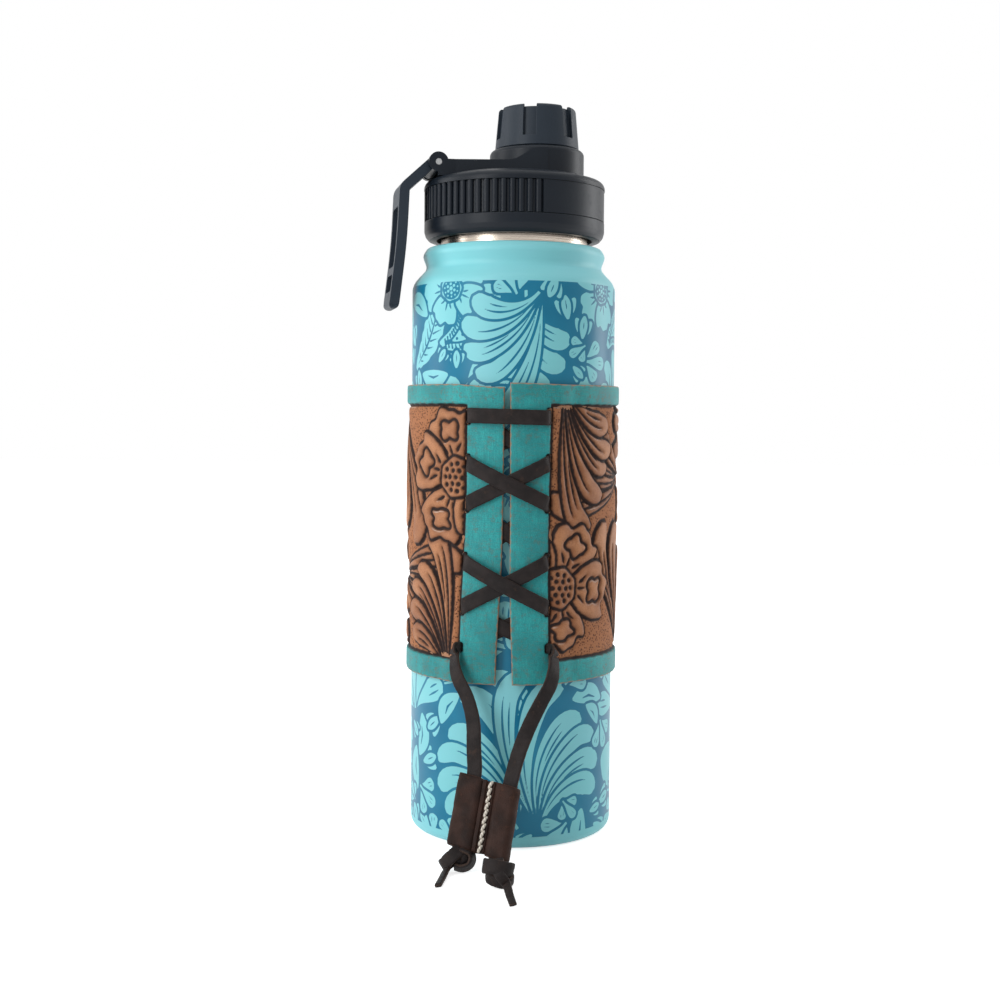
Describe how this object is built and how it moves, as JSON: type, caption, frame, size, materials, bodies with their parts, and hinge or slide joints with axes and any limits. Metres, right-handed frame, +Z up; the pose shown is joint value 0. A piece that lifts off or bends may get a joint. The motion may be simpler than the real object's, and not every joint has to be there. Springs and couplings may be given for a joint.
{
  "type": "insulated drinking bottle",
  "caption": "Double-walled steel drinking bottle with a screw lid, a spout cap, a swinging carry handle and a tooled leather sleeve laced in front.",
  "frame": {"origin": "centre of the ring that the bottle stands on, on the table", "axes": "+Z up along the bottle, -Y towards the lacing, -X towards the carry handle"},
  "size_m": [0.0857, 0.1316, 0.2592],
  "materials": {
    "coated_steel": "satin",
    "bare_steel": "satin",
    "pin_steel": "satin",
    "lid_plastic": "satin",
    "liner_plastic": "satin",
    "silicone": "matte",
    "tooled_leather": "satin",
    "lace_leather": "satin",
    "slider_leather": "matte",
    "thread": "matte"
  },
  "bodies": {
    "bottle": {"outer_shell": "coated_steel", "inner_flask": "bare_steel", "base_plate": "coated_steel", "vacuum_plug": "bare_steel", "vacuum_cover": "coated_steel", "getter": "bare_steel"},
    "lid_carrier": {"lid_gasket": "silicone"},
    "lid": {"lid_shell": "lid_plastic", "lid_grip_band": "lid_plastic", "lid_lower_ring": "lid_plastic", "lid_liner": "liner_plastic", "plug_ring": "liner_plastic", "spout_tube": "liner_plastic", "hinge_pin": "pin_steel"},
    "handle": {"carry_handle": "lid_plastic"},
    "cap_carrier": {"cap_gasket": "silicone"},
    "cap": {"spout_cap": "lid_plastic", "cap_liner": "liner_plastic"},
    "sleeve": {"leather_sleeve": "tooled_leather", "lace_laced": "lace_leather", "lace_left_end": "lace_leather", "lace_right_end": "lace_leather", "lace_slider": "slider_leather", "slider_stitches": "thread", "left_knot": "lace_leather", "right_knot": "lace_leather"}
  },
  "joints": [
    {"name": "lid_lift", "type": "slide", "parent": "bottle", "child": "lid_carrier", "axis": [0, 0, 1], "range_m": [0, 0.06]},
    {"name": "lid_turn", "type": "hinge", "parent": "lid_carrier", "child": "lid", "pos_m": [0, 0, 0.2302], "axis": [0, 0, 1], "range_deg": [0, 540]},
    {"name": "handle_swing", "type": "hinge", "parent": "lid", "child": "handle", "pos_m": [-0.02883, -0.00613, 0.23768], "axis": [-0.2079, 0.9781, 0], "range_deg": [0, 180]},
    {"name": "cap_lift", "type": "slide", "parent": "lid", "child": "cap_carrier", "axis": [0, 0, 1], "range_m": [0, 0.03]},
    {"name": "cap_turn", "type": "hinge", "parent": "cap_carrier", "child": "cap", "pos_m": [0.00802, 0.0017, 0.25605], "axis": [0, 0, 1], "range_deg": [0, 450]},
    {"name": "sleeve_slide", "type": "slide", "parent": "bottle", "child": "sleeve", "axis": [0, 0, 1], "range_m": [0, 0.025]}
  ]
}
